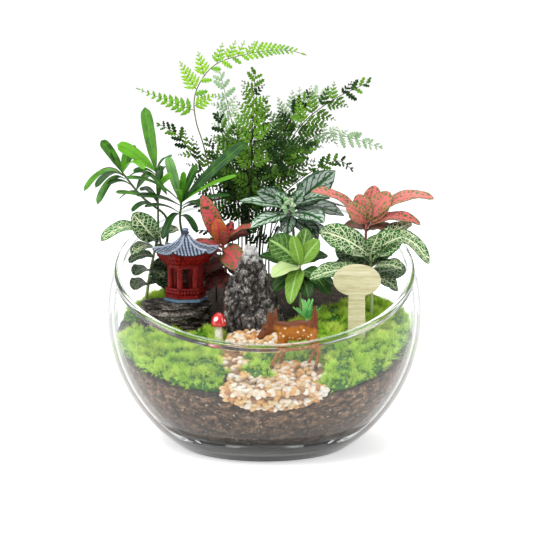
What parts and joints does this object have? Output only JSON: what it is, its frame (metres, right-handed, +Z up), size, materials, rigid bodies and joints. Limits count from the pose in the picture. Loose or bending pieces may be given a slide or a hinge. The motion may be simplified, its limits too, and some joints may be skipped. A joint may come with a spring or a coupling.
{
  "type": "glass plant terrarium",
  "caption": "Round glass bowl with a slanting mouth, planted in soil with ferns and leafy house plants, with moss, a gravel path, rocks and small garden ornaments.",
  "frame": {"origin": "centre of the bowl's flat foot, on the surface it stands on", "axes": "+Z up; the low side of the rim and the front of the planting face -Y; +X is to the right seen from the front"},
  "size_m": [0.2263, 0.2005, 0.2562],
  "materials": {
    "glass": "gloss",
    "soil": "matte",
    "moss": "matte",
    "gravel": "satin",
    "layered_rock": "matte",
    "dark_rock": "matte",
    "plinth_resin": "satin",
    "red_resin": "satin",
    "roof_resin": "satin",
    "mushroom_resin": "gloss",
    "fawn_resin": "gloss",
    "pale_wood": "satin",
    "mint_leaf": "matte",
    "strap_leaf": "satin",
    "silver_leaf": "satin",
    "white_veined_leaf": "satin",
    "pale_veined_leaf": "satin",
    "red_veined_leaf": "satin",
    "pink_veined_leaf": "satin",
    "fern_light": "matte",
    "fern_dark": "matte",
    "fern_pale": "matte"
  },
  "bodies": {
    "root": {"glass_bowl": "glass", "soil": "soil", "gravel_path": "gravel", "moss_left": "moss", "moss_centre": "moss", "moss_front": "moss", "moss_right": "moss", "moss_back_left": "moss", "rock_flat": "layered_rock", "rock_tall": "dark_rock", "pavilion_plinth": "plinth_resin", "pavilion_body": "red_resin", "pavilion_roof": "roof_resin", "mushroom": "mushroom_resin", "fawn": "fawn_resin", "sign": "pale_wood", "star_plant": "mint_leaf", "podocarpus_left": "strap_leaf", "podocarpus_back": "strap_leaf", "podocarpus_right": "strap_leaf", "fittonia_white_left": "white_veined_leaf", "fittonia_red_centre": "red_veined_leaf", "fittonia_pale_centre": "pale_veined_leaf", "pilea": "silver_leaf", "fittonia_white_right": "white_veined_leaf", "fittonia_red_right": "pink_veined_leaf", "fern_frond_1": "fern_light", "fern_frond_2": "fern_dark", "fern_frond_3": "fern_dark", "fern_frond_4": "fern_dark", "fern_frond_5": "fern_dark", "fern_frond_6": "fern_pale", "fern_frond_7": "fern_dark", "fern_frond_8": "fern_pale", "fern_frond_9": "fern_pale"}
  },
  "joints": []
}
